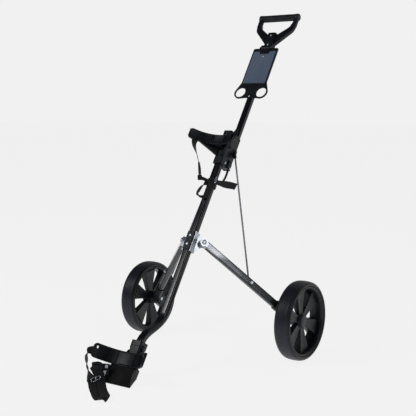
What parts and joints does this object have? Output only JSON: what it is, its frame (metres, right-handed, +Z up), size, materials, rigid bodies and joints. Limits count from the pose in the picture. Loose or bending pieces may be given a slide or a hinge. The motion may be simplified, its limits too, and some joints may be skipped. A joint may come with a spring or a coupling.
{
  "type": "golf pull trolley",
  "caption": "Folding two-wheel golf pull trolley, stood open and empty, with D handle, scorecard holder, bag cradles and straps, braced legs and a rear foot.",
  "frame": {"origin": "on the ground, under the middle of the whole trolley", "axes": "+Z up, -Y to the side that holds the bag, +X along the wheel axles towards the wheel whose pieces are named right_"},
  "size_m": [0.635, 1.0112, 1.0689],
  "materials": {
    "black_tube": "gloss black powder coat on steel tube",
    "black_plastic": "satin moulded black plastic",
    "grip_foam": "soft black grip sleeve",
    "tyre_foam": "smooth black ribbed tyre",
    "silver_metal": "bright zinc-plated steel",
    "leg_paint": "gloss black paint, silver at the hinge end",
    "strut_steel": "dull plated steel rod",
    "panel_slate": "slate blue satin panel",
    "cap_grey": "grey moulded hub cap",
    "webbing": "black woven webbing",
    "foot_rubber": "black rubber pad"
  },
  "bodies": {
    "base": {"main_tube": "black_tube", "main_tube_plug": "black_plastic", "hinge_bracket": "silver_metal", "hinge_front_plate": "black_plastic", "upper_hinge_rivet": "silver_metal", "lower_hinge_rivet": "silver_metal", "right_pivot_bolt": "silver_metal", "left_pivot_bolt": "silver_metal", "right_pivot_nut": "silver_metal", "left_pivot_nut": "silver_metal", "lower_cradle": "black_plastic", "foot_pad": "foot_rubber", "foot_bolt": "silver_metal", "lower_strap": "webbing", "wire_ring": "silver_metal", "lower_buckle": "black_plastic"},
    "upper_frame": {"handle_tube": "black_tube", "handle_body": "black_plastic", "grip_sleeve": "grip_foam", "upper_stem_screw": "silver_metal", "lower_stem_screw": "silver_metal", "scorecard_plate": "black_plastic", "score_panel": "panel_slate", "clip_pin": "silver_metal", "upper_plate_screw": "silver_metal", "lower_plate_screw": "silver_metal", "slider_body": "black_plastic", "upper_cradle": "black_plastic", "cradle_bolt": "silver_metal", "lever_pin": "silver_metal", "slider_screw": "silver_metal", "end_block": "black_plastic", "end_block_bolt": "silver_metal", "upper_strap": "webbing", "upper_buckle": "black_plastic", "strap_collar": "webbing", "strap_hook": "silver_metal", "strap_tail": "webbing"},
    "clamp_lever": {"clamp_lever": "black_plastic"},
    "score_clip": {"score_clip": "black_plastic"},
    "right_leg": {"right_leg_knuckle": "black_plastic", "right_leg_tube": "leg_paint", "right_leg_elbow": "black_plastic", "right_axle": "silver_metal"},
    "right_wheel": {"right_rim": "black_plastic", "right_tyre": "tyre_foam", "right_hub_cap": "cap_grey"},
    "right_strut": {"right_strut": "strut_steel", "right_strut_cap": "silver_metal", "right_strut_ferrule": "black_plastic"},
    "left_leg": {"left_leg_knuckle": "black_plastic", "left_leg_tube": "leg_paint", "left_leg_elbow": "black_plastic", "left_axle": "silver_metal"},
    "left_wheel": {"left_rim": "black_plastic", "left_tyre": "tyre_foam", "left_hub_cap": "cap_grey"},
    "left_strut": {"left_strut": "strut_steel", "left_strut_cap": "silver_metal", "left_strut_ferrule": "black_plastic"}
  },
  "joints": [
    {"name": "right_leg_fold", "type": "hinge", "parent": "base", "child": "right_leg", "pos_m": [0.035, -0.00752, 0.35141], "axis": [-0.7363, 0.5623, -0.3764], "range_deg": [0, 50]},
    {"name": "left_leg_fold", "type": "hinge", "parent": "base", "child": "left_leg", "pos_m": [-0.035, -0.00752, 0.35141], "axis": [-0.7363, -0.5623, 0.3764], "range_deg": [0, 50]},
    {"name": "upper_frame_slide", "type": "slide", "parent": "base", "child": "upper_frame", "axis": [0, -0.5563, -0.831], "range_m": [0, 0.081]},
    {"name": "right_strut_pivot", "type": "hinge", "parent": "right_leg", "child": "right_strut", "pos_m": [0.15554, 0.06807, 0.22853], "axis": [-0.7363, 0.5623, -0.3764], "range_deg": [-34.5, 0]},
    {"name": "left_strut_pivot", "type": "hinge", "parent": "left_leg", "child": "left_strut", "pos_m": [-0.15554, 0.06807, 0.22853], "axis": [-0.7363, -0.5623, 0.3764], "range_deg": [-34.5, 0]},
    {"name": "right_wheel_spin", "type": "hinge", "parent": "right_leg", "child": "right_wheel", "pos_m": [0.2915, 0.13482, 0.12], "axis": [1, 0, 0], "continuous": true},
    {"name": "left_wheel_spin", "type": "hinge", "parent": "left_leg", "child": "left_wheel", "pos_m": [-0.2915, 0.13482, 0.12], "axis": [1, 0, 0], "continuous": true},
    {"name": "clamp_lever_swing", "type": "hinge", "parent": "upper_frame", "child": "clamp_lever", "pos_m": [0.02, 0.1839, 0.66611], "axis": [0, -0.831, 0.5563], "range_deg": [0, 85]},
    {"name": "score_clip_lift", "type": "hinge", "parent": "upper_frame", "child": "score_clip", "pos_m": [0, 0.40203, 0.95331], "axis": [-1, 0, 0], "range_deg": [0, 30], "stiffness_Nm_per_rad": 0.03, "springref_deg": -28.65}
  ],
  "couplings": [
    {"joint": "left_leg_fold", "follows": "right_leg_fold", "ratio": 1},
    {"joint": "upper_frame_slide", "follows": "right_leg_fold", "m_per_rad": 0.092574},
    {"joint": "right_strut_pivot", "follows": "right_leg_fold", "ratio": -0.68641},
    {"joint": "left_strut_pivot", "follows": "right_leg_fold", "ratio": -0.68641}
  ]
}
